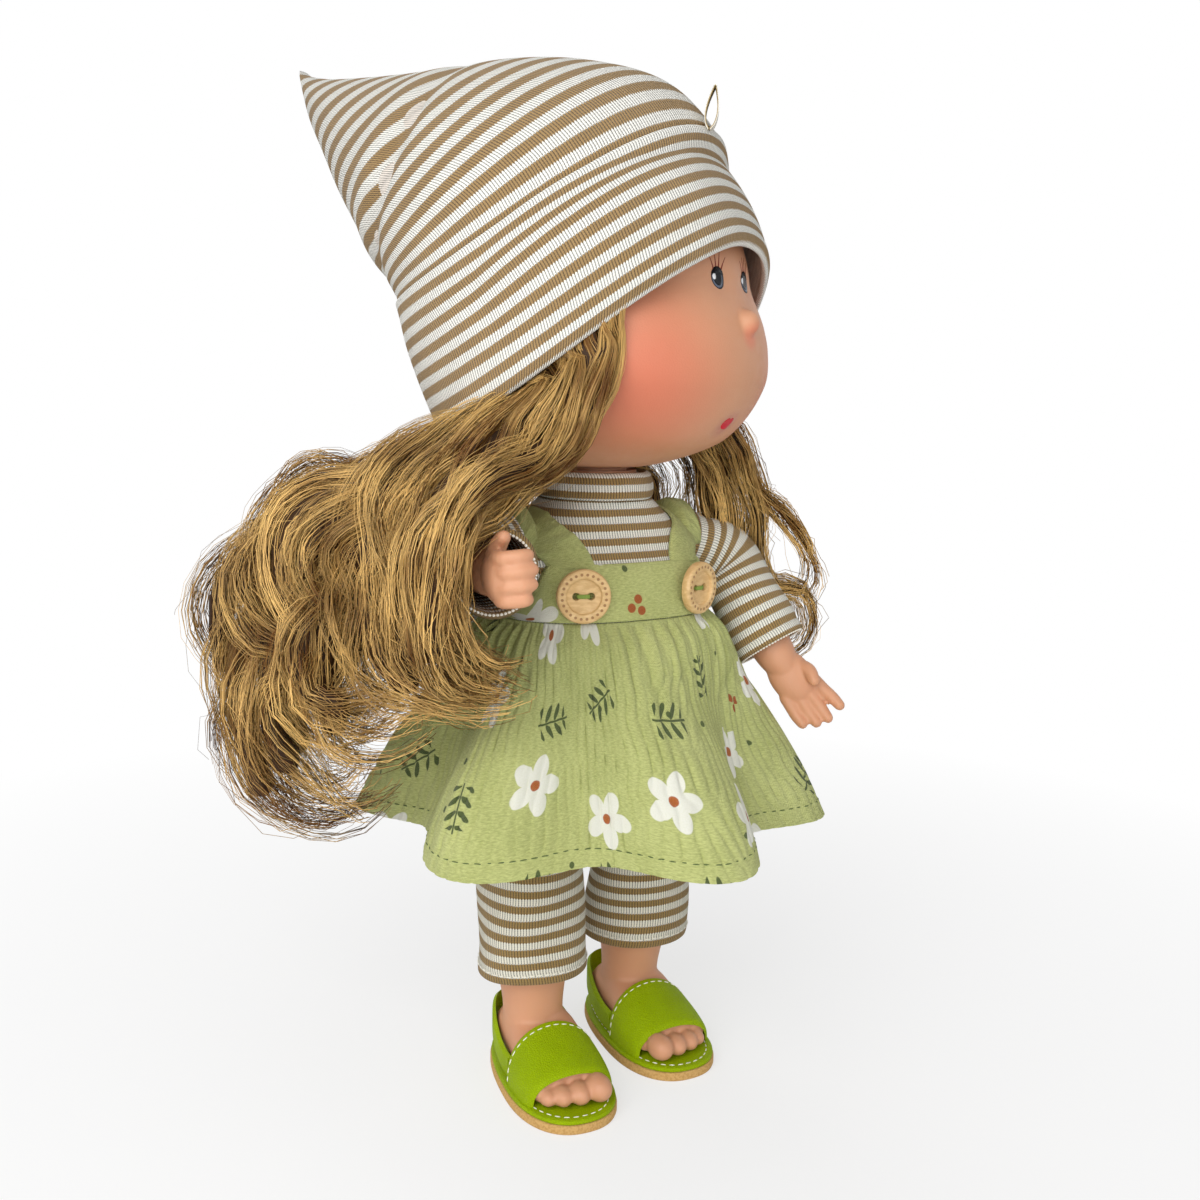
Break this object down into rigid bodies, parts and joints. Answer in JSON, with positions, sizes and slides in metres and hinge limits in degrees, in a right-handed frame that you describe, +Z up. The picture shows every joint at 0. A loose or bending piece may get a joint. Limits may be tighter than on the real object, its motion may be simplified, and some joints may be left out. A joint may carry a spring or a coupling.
{
  "type": "vinyl doll",
  "caption": "Jointed vinyl doll with long wavy hair, striped knitted hat, jumper and leggings, strap dress with wooden buttons, and open-toed sandals.",
  "frame": {"origin": "middle of the doll's bounding box, on the floor under its sandals", "axes": "+Z up from the sandals to the hat, -Y the way the body faces, +X towards the doll's left hand"},
  "size_m": [0.1928, 0.1818, 0.3147],
  "materials": {
    "vinyl": "soft matte vinyl",
    "hair": "wavy fibre",
    "knit": "striped jersey knit",
    "muslin": "crinkled double gauze",
    "leatherette": "smooth leatherette",
    "sole": "matt",
    "wood": "plain sanded",
    "thread": "sewing thread",
    "ribbon": "woven ribbon"
  },
  "bodies": {
    "torso": {"torso": "vinyl", "jumper_body": "knit", "jumper_collar": "knit", "leggings_hip": "knit", "dress_waistband": "muslin", "dress_skirt": "muslin", "dress_strap_right": "muslin", "button_right": "wood", "button_thread_right": "thread", "dress_strap_left": "muslin", "button_left": "wood", "button_thread_left": "thread"},
    "head": {"head": "vinyl", "hat": "knit", "hat_label": "ribbon", "hair_right": "hair", "hair_back": "hair", "hair_left": "hair"},
    "arm_right": {"arm_right": "vinyl", "jumper_sleeve_right": "knit"},
    "leg_right": {"leg_right": "vinyl", "leggings_leg_right": "knit", "sandal_sole_right": "sole", "sandal_insole_right": "leatherette", "sandal_front_strap_right": "leatherette", "sandal_heel_strap_right": "leatherette"},
    "arm_left": {"arm_left": "vinyl", "jumper_sleeve_left": "knit"},
    "leg_left": {"leg_left": "vinyl", "leggings_leg_left": "knit", "sandal_sole_left": "sole", "sandal_insole_left": "leatherette", "sandal_front_strap_left": "leatherette", "sandal_heel_strap_left": "leatherette"}
  },
  "joints": [
    {"name": "neck_turn", "type": "hinge", "parent": "torso", "child": "head", "pos_m": [0.01909, -0.01656, 0.1893], "axis": [0, 0, 1], "range_deg": [-75, 35], "deforming": ["hair_right", "hair_back", "hair_left"]},
    {"name": "shoulder_right", "type": "hinge", "parent": "torso", "child": "arm_right", "pos_m": [-0.00741, -0.01656, 0.1666], "axis": [-1, 0, 0], "range_deg": [-126, 24], "deforming": ["hair_right", "hair_back"]},
    {"name": "shoulder_left", "type": "hinge", "parent": "torso", "child": "arm_left", "pos_m": [0.04559, -0.01656, 0.1666], "axis": [-1, 0, 0], "range_deg": [-68, 82], "deforming": ["hair_left", "hair_back"]},
    {"name": "hip_right", "type": "hinge", "parent": "torso", "child": "leg_right", "pos_m": [0.01309, -0.01656, 0.101], "axis": [-1, 0, 0], "range_deg": [-25, 90], "deforming": ["dress_skirt"]},
    {"name": "hip_left", "type": "hinge", "parent": "torso", "child": "leg_left", "pos_m": [0.02509, -0.01656, 0.101], "axis": [-1, 0, 0], "range_deg": [-25, 90], "deforming": ["dress_skirt"]}
  ]
}
